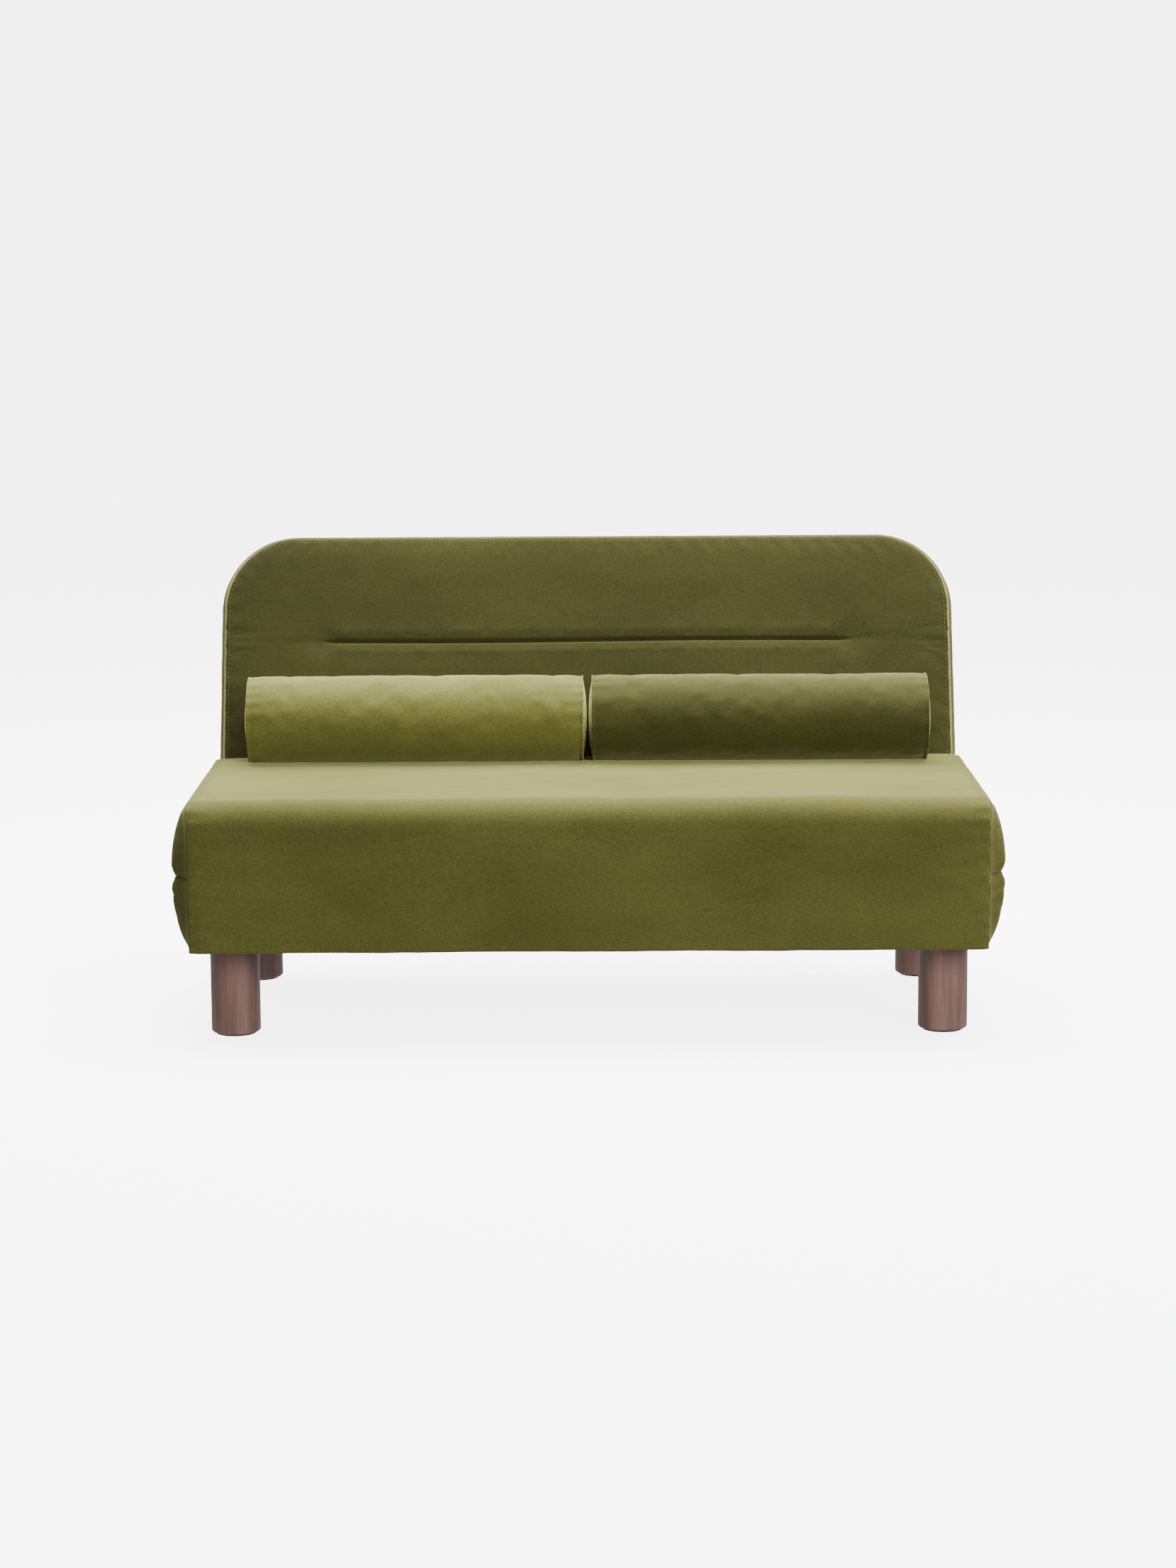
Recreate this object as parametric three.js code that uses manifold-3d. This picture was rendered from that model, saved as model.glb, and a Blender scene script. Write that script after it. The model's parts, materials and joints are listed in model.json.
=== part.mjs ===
// A two-seat futon sofa bed. Millimetres, +Z up, +X to the right, the front faces -Y.
// The seat is two layers hinged along their common front edge: the upper one flips forward half a turn,
// the back lies down behind, and the three faces make one level bed.
import * as THREE from 'three';
import { mergeVertices } from 'three/addons/utils/BufferGeometryUtils.js';
import Module from 'manifold-3d';

// Driving dimensions.
const WIDTH = 1500; // seat and back, seam to seam
const SEAT_HALF = 752; // half the seat's width over its side panels
const SEAT_TOP = 458;
const FOLD_Z = 316.5; // line about which the upper seat layer flips
const FRONT_GAP = 2; // cover thickness between the fold line and the foam
const BED_TOP = 315.5; // level of the open bed
const LOWER_PAD_BOTTOM = 192;
const SEAT_ROUND = 45; // front top edge
const BOARD = 11.7;
const SLACK = 0.3; // assembly gap between touching pieces
const RUNNING = 0.1; // radial clearance of a pin in its hole

const LEAN = THREE.MathUtils.degToRad(20.7); // back from the vertical
const BACK_FOOT_Y = 538; // lower front edge of the back
const BACK_FOOT_Z = 317.5;
const BACK_LENGTH = 611;
const BACK_THICK = 115;
const BACK_CORNER = 145;
const BACK_FRONT_FOAM = 80;

const PIVOT_Y = 617; // recline axis
const PIVOT_Z = 205;
const CHEEK_HALF = 40;
const LOWER_PAD_REAR = 682;

const LEG_RADIUS = 47;
const LEG_X = 675;
const LEG_YS = { front: 115, rear: 628 };
const GLIDE = 4;
const LEG_TOP = 166;
const PLATE = 3;
const RAIL_TOP = 181;
const RAIL_BOTTOM = LEG_TOP + PLATE + SLACK;
const RAIL_WALL = 2;
const RAIL_WIDTH = 30;
const SIDE_RAIL_INNER = 699;
const SIDE_RAIL_ENDS = [70, 686];
const CROSS_RAILS = { front: 100, centre: 378, rear: 656 };
const SLATS = 7;
const SLAT_WIDTH = 64;
const SLAT_ENDS = [85, 671];

const BOLSTER_RADIUS = 86;
const BOLSTER_LENGTH = 676;
const BOLSTER_GAP = 10;

const ARM_X = 722; // inner face of a recline arm
const ARM_THICK = 6;
const ARM_WIDTH = 22;
const PIN = 5.8; // recline pin radius
const EYE = 16;

const BACK_LEG_X = 560;
const BACK_LEG_AT = 470; // how far up the back it hangs
const BACK_LEG_DROP = 134; // its axis, behind the back's front face
const TUBE = 9.5;
const LEG_PIN = 4;

const FLAP_BOARD_BOTTOM = 375;
const FLAP_BOARD_ENDS = [20, 535];
const FLAP_LEG_Y = 550;
const FLAP_LEG_Z = 425;
const FLAP_LEG_WIDTH = 22;
const FLAP_LEG_THICK = 8;
const FLAP_LEG_X = 754.8; // inner face of the bar
const STUD = 5;

// Where the whole object's middle lies, so that the origin is under it.
const BACK_REAR_Y = BACK_FOOT_Y + BACK_LENGTH * Math.sin(LEAN) + BACK_THICK * Math.cos(LEAN);
const CENTRE_Y = (FRONT_GAP + BACK_REAR_Y) / 2;

const wasm = await Module();
wasm.setup();

// Solids: joins and cuts.
function solidOf(geometry) {
  const bare = geometry.clone();
  bare.deleteAttribute('normal');
  bare.deleteAttribute('uv');
  const merged = mergeVertices(bare, 1e-4);
  return new wasm.Manifold(new wasm.Mesh({
    numProp: 3,
    vertProperties: merged.attributes.position.array,
    triVerts: new Uint32Array(merged.index.array),
  }));
}

function geometryOf(solid) {
  const mesh = solid.getMesh();
  return new THREE.BufferGeometry()
    .setAttribute('position', new THREE.BufferAttribute(mesh.vertProperties, 3))
    .setIndex(new THREE.BufferAttribute(mesh.triVerts, 1))
    .toNonIndexed();
}

function withNormals(geometry) {
  geometry.computeVertexNormals();
  return geometry;
}

const cut = (body, ...tools) =>
  withNormals(geometryOf(tools.reduce((left, tool) => left.subtract(solidOf(tool)), solidOf(body))));
const join = (body, ...others) =>
  withNormals(geometryOf(others.reduce((sum, other) => sum.add(solidOf(other)), solidOf(body))));

// Shapes.
function box(x, y, z) {
  return new THREE.BoxGeometry(x[1] - x[0], y[1] - y[0], z[1] - z[0])
    .translate((x[0] + x[1]) / 2, (y[0] + y[1]) / 2, (z[0] + z[1]) / 2);
}

// An outline drawn in (y, z), as thick along X as the two given values.
const YZ_TO_WORLD = new THREE.Matrix4().makeBasis(
  new THREE.Vector3(0, 1, 0), new THREE.Vector3(0, 0, 1), new THREE.Vector3(1, 0, 0));
function sideways(shape, x0, x1, curveSegments = 12) {
  return new THREE.ExtrudeGeometry(shape, { depth: x1 - x0, bevelEnabled: false, curveSegments })
    .applyMatrix4(YZ_TO_WORLD).translate(x0, 0, 0);
}

// A plain round bar along X.
const barX = (x0, x1, radius, sides = 24) =>
  new THREE.CylinderGeometry(radius, radius, x1 - x0, sides)
    .rotateZ(-Math.PI / 2).translate((x0 + x1) / 2, 0, 0);

function hole(shape, y, z, radius) {
  const path = new THREE.Path();
  path.absarc(y, z, radius, 0, 2 * Math.PI, true);
  shape.holes.push(path);
  return shape;
}

// A flat link with a round eye at (0, 0), running down to z = -reach.
function linkShape(reach, width, eye, bore) {
  const shape = new THREE.Shape();
  const half = width / 2;
  const turn = Math.asin(half / eye);
  shape.moveTo(-half, -reach);
  shape.lineTo(half, -reach);
  shape.absarc(0, 0, eye, -Math.PI / 2 + turn, 1.5 * Math.PI - turn, false);
  shape.closePath();
  return hole(shape, 0, 0, bore);
}

// Materials, one for each finish.
const finish = (color, roughness, metalness = 0) =>
  new THREE.MeshStandardMaterial({ color, roughness, metalness });
const MATERIALS = {
  velvet: finish(0x5a6424, 0.9),
  walnut: finish(0x5f463c, 0.45),
  plywood: finish(0xb89468, 0.7),
  steel: finish(0x2b2c2e, 0.5, 0.8),
  zinc: finish(0xa4a7aa, 0.35, 1),
  rubber: finish(0x1d1d1d, 0.85),
};

function piece(group, name, material, geometry, y = 0, z = 0) {
  const mesh = new THREE.Mesh(geometry, MATERIALS[material]);
  mesh.name = name;
  mesh.position.set(0, y, z);
  group.add(mesh);
  return mesh;
}

const SIDES = [['left', -1], ['right', 1]];
// The same x span on either side of the middle, low end first.
const mirrored = (side, x0, x1) => (side > 0 ? [x0, x1] : [-x1, -x0]);

const lathe = (outline, sides) =>
  new THREE.LatheGeometry(outline.map(([r, h]) => new THREE.Vector2(r, h)), sides);

// Base: four round legs, the steel frame on them and the slats.
function addLegs(root) {
  for (const [end, y] of Object.entries(LEG_YS)) {
    for (const [label, side] of SIDES) {
      const at = (geometry) => geometry.rotateX(Math.PI / 2).translate(side * LEG_X, y, 0);
      const edge = 3;
      const outline = [[0, GLIDE], [LEG_RADIUS - edge, GLIDE], [LEG_RADIUS, GLIDE + edge],
        [LEG_RADIUS, LEG_TOP], [0, LEG_TOP]];
      piece(root, `leg_${end}_${label}`, 'walnut', at(lathe(outline, 64)));
      piece(root, `leg_glide_${end}_${label}`, 'rubber',
        at(lathe([[0, 0], [38, 0], [38, GLIDE - SLACK], [0, GLIDE - SLACK]], 40)));
      const half = 55;
      piece(root, `leg_plate_${end}_${label}`, 'steel',
        box([side * LEG_X - half, side * LEG_X + half], [y - half, y + half],
          [LEG_TOP + SLACK, LEG_TOP + PLATE]));
    }
  }
}

function tubeSection(width, height) {
  const rectangle = (path, inset) => {
    const [w, h] = [width / 2 - inset, height / 2 - inset];
    path.moveTo(-w, -h).lineTo(w, -h).lineTo(w, h).lineTo(-w, h).closePath();
    return path;
  };
  const section = rectangle(new THREE.Shape(), 0);
  section.holes.push(rectangle(new THREE.Path(), RAIL_WALL));
  return section;
}

function addFrame(root) {
  const height = RAIL_TOP - RAIL_BOTTOM;
  const middle = (RAIL_TOP + RAIL_BOTTOM) / 2;
  const section = tubeSection(RAIL_WIDTH, height);
  const reach = SIDE_RAIL_INNER - SLACK;
  for (const [label, y] of Object.entries(CROSS_RAILS)) {
    piece(root, `base_${label}_rail`, 'steel', sideways(section, -reach, reach), y, middle);
  }
  const [front, rear] = SIDE_RAIL_ENDS;
  for (const [label, side] of SIDES) {
    const rail = new THREE.ExtrudeGeometry(section, { depth: rear - front, bevelEnabled: false })
      .rotateX(Math.PI / 2).translate(side * (SIDE_RAIL_INNER + RAIL_WIDTH / 2), rear, middle);
    piece(root, `base_${label}_rail`, 'steel', rail);
  }
}

function addSlats(root) {
  const pitch = 2 * (SIDE_RAIL_INNER - SLAT_WIDTH) / (SLATS - 1);
  const [bottom, top] = [RAIL_TOP + SLACK, LOWER_PAD_BOTTOM - SLACK];
  for (let i = 0; i < SLATS; i += 1) {
    const x = (i - (SLATS - 1) / 2) * pitch;
    const across = [x - SLAT_WIDTH / 2, x + SLAT_WIDTH / 2];
    piece(root, `slat_${i + 1}`, 'plywood', box(across, SLAT_ENDS, [bottom, top]));
  }
}

// The lower seat layer: its rear top edge is round about the recline axis, so that the back can turn past it,
// and its rear corners are open for the recline arms.
function addLowerPad(root) {
  const round = BED_TOP - PIVOT_Z;
  const shape = new THREE.Shape();
  shape.moveTo(FRONT_GAP, LOWER_PAD_BOTTOM);
  shape.lineTo(LOWER_PAD_REAR, LOWER_PAD_BOTTOM);
  const end = Math.acos((LOWER_PAD_REAR - PIVOT_Y) / round);
  shape.absarc(PIVOT_Y, PIVOT_Z, round, end, Math.PI / 2, false);
  shape.lineTo(FRONT_GAP, BED_TOP);
  shape.closePath();
  const notchInner = ARM_X - 10;
  const along = [PIVOT_Y - CHEEK_HALF - 2, LOWER_PAD_REAR + 10];
  const notches = SIDES.map(([, side]) =>
    box(mirrored(side, notchInner, SEAT_HALF + 10), along, [LOWER_PAD_BOTTOM - 10, BED_TOP + 10]));
  piece(root, 'lower_pad', 'velvet', cut(sideways(shape, -SEAT_HALF, SEAT_HALF), ...notches));
}

// The steel cheeks that carry the recline axis, with the pins through them.
function addReclineCheeks(root) {
  const x0 = ARM_X + ARM_THICK + 1.5;
  const thick = 5;
  const foot = RAIL_BOTTOM + 2 - PIVOT_Z;
  for (const [label, side] of SIDES) {
    const shape = new THREE.Shape();
    shape.moveTo(-CHEEK_HALF, foot);
    shape.lineTo(CHEEK_HALF, foot);
    shape.lineTo(CHEEK_HALF, foot + 16);
    shape.absarc(0, 0, EYE, 0, Math.PI, false);
    shape.lineTo(-CHEEK_HALF, foot + 16);
    shape.closePath();
    hole(shape, 0, 0, PIN + RUNNING);
    const span = mirrored(side, x0, x0 + thick);
    piece(root, `recline_cheek_${label}`, 'steel', sideways(shape, ...span), PIVOT_Y, PIVOT_Z);
    const pinEnds = mirrored(side, ARM_X - 2, x0 + thick + 3);
    const head = mirrored(side, x0 + thick + SLACK, x0 + thick + 4);
    const pin = join(barX(...pinEnds, PIN), barX(...head, PIN + 4));
    piece(root, `recline_pin_${label}`, 'zinc', pin, PIVOT_Y, PIVOT_Z);
  }
}

// The upper seat layer: foam, a stiffening board, foam. Its rear face is parallel to the back.
const clearOfBack = 4 / Math.cos(LEAN);
const flapRear = (z) => BACK_FOOT_Y + (z - BACK_FOOT_Z) * Math.tan(LEAN) - clearOfBack;

function flapLayer(z0, z1, frontRound, rearRound) {
  const shape = new THREE.Shape();
  shape.moveTo(FRONT_GAP, z0);
  shape.lineTo(flapRear(z0), z0);
  if (rearRound) {
    shape.lineTo(flapRear(z1 - rearRound), z1 - rearRound);
    shape.quadraticCurveTo(flapRear(z1), z1, flapRear(z1) - rearRound, z1);
  } else {
    shape.lineTo(flapRear(z1), z1);
  }
  if (frontRound) {
    shape.lineTo(FRONT_GAP + frontRound, z1);
    shape.absarc(FRONT_GAP + frontRound, z1 - frontRound, frontRound, Math.PI / 2, Math.PI, false);
  } else {
    shape.lineTo(FRONT_GAP, z1);
  }
  shape.closePath();
  return sideways(shape, -SEAT_HALF, SEAT_HALF, 8);
}

function addFlap(root) {
  const bottom = 2 * FOLD_Z - BED_TOP;
  const boardTop = FLAP_BOARD_BOTTOM + BOARD;
  piece(root, 'flap_under_pad', 'velvet', flapLayer(bottom, FLAP_BOARD_BOTTOM - SLACK, 0, 0));
  piece(root, 'flap_board', 'plywood', box([-740, 740], FLAP_BOARD_ENDS, [FLAP_BOARD_BOTTOM, boardTop]));
  piece(root, 'flap_top_pad', 'velvet', flapLayer(boardTop + SLACK, SEAT_TOP, SEAT_ROUND, 18));
}

// The flap's legs hang at its sides on studs, and swing out to stand when it is flipped.
function addFlapLegs(root) {
  const footTip = 2 * FOLD_Z - FLAP_LEG_Z - 1;
  const footHeight = 12;
  for (const [label, side] of SIDES) {
    const reach = footTip - footHeight - SLACK;
    const link = linkShape(reach, FLAP_LEG_WIDTH, FLAP_LEG_WIDTH / 2 + 3, STUD + RUNNING);
    const span = mirrored(side, FLAP_LEG_X, FLAP_LEG_X + FLAP_LEG_THICK);
    piece(root, `flap_leg_${label}`, 'steel', sideways(link, ...span), FLAP_LEG_Y, FLAP_LEG_Z);
    const half = FLAP_LEG_WIDTH / 2 + 1;
    piece(root, `flap_leg_foot_${label}`, 'rubber',
      box(mirrored(side, FLAP_LEG_X - 0.5, FLAP_LEG_X + FLAP_LEG_THICK + 2), [-half, half],
        [-footTip, -footTip + footHeight]), FLAP_LEG_Y, FLAP_LEG_Z);
    const plate = box(mirrored(side, SEAT_HALF + SLACK, FLAP_LEG_X - SLACK), [-15, 15], [-60, 15]);
    const stud = barX(...mirrored(side, FLAP_LEG_X - 1, FLAP_LEG_X + FLAP_LEG_THICK + 1), STUD);
    const outer = FLAP_LEG_X + FLAP_LEG_THICK + SLACK;
    const head = barX(...mirrored(side, outer, outer + 2.5), STUD + 3);
    piece(root, `flap_leg_stud_${label}`, 'zinc', join(plate, stud, head), FLAP_LEG_Y, FLAP_LEG_Z);
  }
}

// The back, built upright in its own group: x to the right, y up its length, z out of its front face.
function backOutline(half, length, corner) {
  const shape = new THREE.Shape();
  shape.moveTo(-half, 0);
  shape.lineTo(half, 0);
  shape.lineTo(half, length - corner);
  shape.absarc(half - corner, length - corner, corner, 0, Math.PI / 2, false);
  shape.lineTo(corner - half, length);
  shape.absarc(corner - half, length - corner, corner, Math.PI / 2, Math.PI, false);
  shape.closePath();
  return shape;
}

function backLayer(inset, near, far) {
  const outline = backOutline(WIDTH / 2 - inset, BACK_LENGTH - inset, BACK_CORNER - inset);
  const options = { depth: far - near, bevelEnabled: false, curveSegments: 14 };
  const layer = new THREE.ExtrudeGeometry(outline, options);
  return layer.translate(0, 0, -far);
}

// Everything below the level of the back's foot, in the back's own tilted frame.
const belowFoot = () => box([-900, 900], [-200, 400], [-300, 0]).rotateX(LEAN - Math.PI / 2);

function addBackSlab(back) {
  const board = [BACK_FRONT_FOAM + SLACK, BACK_FRONT_FOAM + SLACK + BOARD];
  const rear = [board[1] + SLACK, BACK_THICK];
  const armSlots = SIDES.map(([, side]) =>
    box(mirrored(side, ARM_X - 1, ARM_X + ARM_THICK + 1), [-50, 262], [-BACK_THICK - 5, -board[1]]));
  piece(back, 'back_front_pad', 'velvet', cut(backLayer(0, 0, BACK_FRONT_FOAM), belowFoot()));
  piece(back, 'back_board', 'plywood', cut(backLayer(8, ...board), belowFoot()));
  piece(back, 'back_rear_pad', 'velvet', cut(backLayer(0, ...rear), belowFoot(), ...armSlots));
}

function addReclineArms(back, pivotUp, pivotDeep) {
  const shape = new THREE.Shape();
  const [near, far] = [-pivotDeep - 2, -pivotDeep + ARM_WIDTH - 3];
  shape.moveTo(260, near);
  shape.lineTo(260, far);
  shape.lineTo(pivotUp + 8, far);
  shape.lineTo(pivotUp, -pivotDeep + EYE);
  shape.absarc(pivotUp, -pivotDeep, EYE, Math.PI / 2, 1.5 * Math.PI, false);
  shape.lineTo(pivotUp + 20, near);
  shape.closePath();
  hole(shape, pivotUp, -pivotDeep, PIN + RUNNING);
  for (const [label, side] of SIDES) {
    const span = mirrored(side, ARM_X, ARM_X + ARM_THICK);
    piece(back, `recline_arm_${label}`, 'steel', sideways(shape, ...span));
  }
}

// The loop that hangs behind the back and stands under it when it lies flat.
function addBackLeg(back, pivotDeep) {
  const reach = PIVOT_Z - (BACK_LEG_DROP - pivotDeep) - 1;
  const gap = 1;
  const footHeight = 8;
  const leg = new THREE.Group();
  leg.position.set(0, BACK_LEG_AT, -BACK_LEG_DROP);
  back.add(leg);
  for (const [label, side] of SIDES) {
    const strap = new THREE.Shape();
    const half = TUBE;
    strap.moveTo(0, -half);
    strap.absarc(0, 0, half, -Math.PI / 2, Math.PI / 2, false);
    strap.lineTo(footHeight + SLACK - reach, half);
    strap.lineTo(footHeight + SLACK - reach, -half);
    strap.closePath();
    hole(strap, 0, 0, LEG_PIN + RUNNING);
    const width = mirrored(side, BACK_LEG_X - 5, BACK_LEG_X + 5);
    piece(leg, `back_leg_strut_${label}`, 'steel', sideways(strap, ...width));
    const foot = mirrored(side, BACK_LEG_X - 8, BACK_LEG_X + 8);
    piece(leg, `back_leg_foot_${label}`, 'rubber',
      box(foot, [-reach, footHeight - reach], [-half - 2, half + 2]));
    const lug = new THREE.Shape();
    lug.moveTo(-14, BACK_LEG_DROP - BACK_THICK - 2.5);
    lug.absarc(0, 0, 9, Math.PI, 2 * Math.PI, false);
    lug.lineTo(14, BACK_LEG_DROP - BACK_THICK - 2.5);
    lug.closePath();
    const lugX = mirrored(side, BACK_LEG_X + 5 + gap, BACK_LEG_X + 9 + gap);
    const plate = box(mirrored(side, BACK_LEG_X + 5 + gap, BACK_LEG_X + 36), [-28, 28],
      [BACK_LEG_DROP - BACK_THICK - 3, BACK_LEG_DROP - BACK_THICK - SLACK]);
    const pin = barX(...mirrored(side, BACK_LEG_X - 7, BACK_LEG_X + 7 + gap), LEG_PIN);
    const cap = barX(...mirrored(side, BACK_LEG_X - 8, BACK_LEG_X - 5 - SLACK), 6.5);
    piece(leg, `back_leg_bracket_${label}`, 'zinc', join(plate, sideways(lug, ...lugX), pin, cap));
  }
  const span = BACK_LEG_X - 5 - SLACK;
  piece(leg, 'back_leg_crossbar', 'steel', barX(-span, span, TUBE - 1), 20 - reach, 0);
}

function addBack(root) {
  const back = new THREE.Group();
  back.position.set(0, BACK_FOOT_Y, BACK_FOOT_Z);
  back.rotation.x = Math.PI / 2 - LEAN;
  root.add(back);
  const [dy, dz] = [PIVOT_Y - BACK_FOOT_Y, PIVOT_Z - BACK_FOOT_Z];
  const pivotUp = dy * Math.sin(LEAN) + dz * Math.cos(LEAN);
  const pivotDeep = dy * Math.cos(LEAN) - dz * Math.sin(LEAN);
  addBackSlab(back);
  addReclineArms(back, pivotUp, pivotDeep);
  addBackLeg(back, pivotDeep);
}

// Two loose round bolsters, tangent to the seat and to the back.
function addBolsters(root) {
  const round = 10;
  const half = BOLSTER_LENGTH / 2;
  const profile = new THREE.Path();
  profile.moveTo(0, -half);
  profile.lineTo(BOLSTER_RADIUS - round, -half);
  profile.absarc(BOLSTER_RADIUS - round, round - half, round, -Math.PI / 2, 0, false);
  profile.absarc(BOLSTER_RADIUS - round, half - round, round, 0, Math.PI / 2, false);
  profile.lineTo(0, half);
  const z = SEAT_TOP + BOLSTER_RADIUS + 1;
  const backFaceY = BACK_FOOT_Y + (z - BACK_FOOT_Z) * Math.tan(LEAN);
  const y = backFaceY - (BOLSTER_RADIUS + 1) / Math.cos(LEAN);
  for (const [label, side] of SIDES) {
    const x = side * (BOLSTER_GAP + BOLSTER_LENGTH) / 2;
    const roll = new THREE.LatheGeometry(profile.getPoints(6), 48).rotateZ(Math.PI / 2).translate(x, 0, 0);
    piece(root, `bolster_${label}`, 'velvet', roll, y, z);
  }
}

const sofa = new THREE.Group();
sofa.position.y = -CENTRE_Y;
addLegs(sofa);
addFrame(sofa);
addSlats(sofa);
addLowerPad(sofa);
addReclineCheeks(sofa);
addFlap(sofa);
addFlapLegs(sofa);
addBack(sofa);
addBolsters(sofa);

const model = new THREE.Group();
model.add(sofa);
export default model;
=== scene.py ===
"""The looks of an olive velvet futon sofa bed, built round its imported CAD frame.

Metres, +Z up, the front faces -Y.
"""
import json
import math

import bpy
import numpy as np
from mathutils import Matrix, Vector, noise


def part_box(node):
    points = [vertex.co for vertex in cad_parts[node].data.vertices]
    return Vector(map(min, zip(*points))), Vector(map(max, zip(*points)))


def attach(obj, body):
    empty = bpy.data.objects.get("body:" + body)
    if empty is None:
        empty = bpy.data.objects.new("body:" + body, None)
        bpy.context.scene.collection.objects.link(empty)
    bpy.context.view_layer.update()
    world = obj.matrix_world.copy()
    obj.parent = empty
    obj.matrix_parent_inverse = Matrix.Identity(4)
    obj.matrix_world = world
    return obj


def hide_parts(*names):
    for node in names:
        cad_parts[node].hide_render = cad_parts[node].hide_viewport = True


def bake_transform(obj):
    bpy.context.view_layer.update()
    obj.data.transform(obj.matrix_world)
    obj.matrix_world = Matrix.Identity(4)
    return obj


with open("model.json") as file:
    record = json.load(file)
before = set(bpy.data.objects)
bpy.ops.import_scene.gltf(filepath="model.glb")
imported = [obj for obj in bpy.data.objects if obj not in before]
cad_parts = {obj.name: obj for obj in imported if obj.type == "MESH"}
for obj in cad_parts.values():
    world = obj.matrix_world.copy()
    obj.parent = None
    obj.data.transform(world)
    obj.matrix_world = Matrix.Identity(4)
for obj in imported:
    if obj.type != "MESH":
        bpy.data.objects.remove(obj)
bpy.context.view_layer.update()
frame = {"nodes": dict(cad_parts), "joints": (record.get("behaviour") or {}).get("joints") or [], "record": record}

# Places taken from the frame.
LOWER_LOW, LOWER_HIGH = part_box("lower_pad")
TOP_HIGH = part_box("flap_top_pad")[1]
UNDER_LOW, UNDER_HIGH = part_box("flap_under_pad")
BACK_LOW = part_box("back_front_pad")[0]
JOINTS = {joint["name"]: joint for joint in frame["joints"]}
FOLD_Y, FOLD_Z = JOINTS["flap_fold"]["pos_m"][1:]
LEAN = math.radians(90 - JOINTS["back_recline"]["range_deg"][1])  # the back reclines until it is level

# Driving sizes of the upholstery.
SEAM_HALF = 0.750  # from the middle to the seat's side seams
SEAT_FRONT = FOLD_Y  # outer face of the cover
SEAT_TOP = TOP_HIGH[2] + 0.001
SEAT_RISE = (0.0, 0.003)  # the cover's top, in front and at the rear, climbs a little
SEAT_BOTTOM = FOLD_Z * 2 - TOP_HIGH[2]  # the front panel's hem
FRONT_ROUND = 0.047
SIDE_PUFF = 0.034
PUFF_END = SEAT_FRONT + 0.515  # the side panels lie flat behind this, beside the flap's legs
BACK_LENGTH = 0.611
BACK_THICK = 0.115
BACK_CORNER = 0.145
BACK_HALF = 0.737
TUCK_UP = 0.393  # how far up the back the tuck is sewn
TUCK_HALF = 0.535
STITCH = 0.0062
STITCH_PITCH = 0.0092
SKIN_INSET = 0.003  # the seat layers lie this far inside the cover
CLOTH_PRESSURE = 1.5
CLOTH_FRAMES = 14


# ---------------------------------------------------------------- meshes
def smooth_step(low, high, value):
    t = np.clip((value - low) / (high - low), 0, 1)
    return t * t * (3 - 2 * t)


def rough(points, scale, seed):
    """Smooth random values in about -1..1 at each point, for soft unevenness."""
    shift = Vector((seed * 7.3, seed * 3.1, seed * 5.7))
    return np.array([noise.noise(Vector(p) / scale + shift) for p in np.reshape(points, (-1, 3))])


def add_mesh(name, points, faces, material):
    mesh = bpy.data.meshes.new(name)
    mesh.from_pydata([tuple(p) for p in points], [], faces)
    mesh.validate()
    mesh.update()
    piece = bpy.data.objects.new(name, mesh)
    bpy.context.scene.collection.objects.link(piece)
    mesh.materials.append(material)
    mesh.shade_smooth()
    return piece


def grid_faces(rows, columns, start=0, flip=False):
    faces = []
    for i in range(rows - 1):
        for j in range(columns - 1):
            a = start + i * columns + j
            quad = (a, a + 1, a + columns + 1, a + columns)
            faces.append(quad[::-1] if flip else quad)
    return faces


def closed_slab(near, far, rings):
    """Points and faces of a closed body: two facing grids, joined round their edges by rings of points."""
    rows, columns = near.shape[:2]
    points = [near.reshape(-1, 3), far.reshape(-1, 3)]
    faces = grid_faces(rows, columns) + grid_faces(rows, columns, rows * columns, flip=True)
    loop = edge_loop(rows, columns)
    chain = [loop] + [None] * len(rings) + [[rows * columns + i for i in loop]]
    start = 2 * rows * columns
    for k, ring in enumerate(rings):
        points.append(ring)
        chain[k + 1] = list(range(start, start + len(loop)))
        start += len(loop)
    for one, two in zip(chain, chain[1:]):
        for i in range(len(loop)):
            j = (i + 1) % len(loop)
            faces.append((one[i], two[i], two[j], one[j]))
    return np.concatenate(points), faces


def edge_loop(rows, columns):
    """Indices round a grid's edge, anticlockwise with columns to the right and rows up."""
    bottom = [j for j in range(columns)]
    right = [i * columns + columns - 1 for i in range(1, rows)]
    top = [(rows - 1) * columns + j for j in range(columns - 2, -1, -1)]
    left = [i * columns for i in range(rows - 2, 0, -1)]
    return bottom + right + top + left


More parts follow.
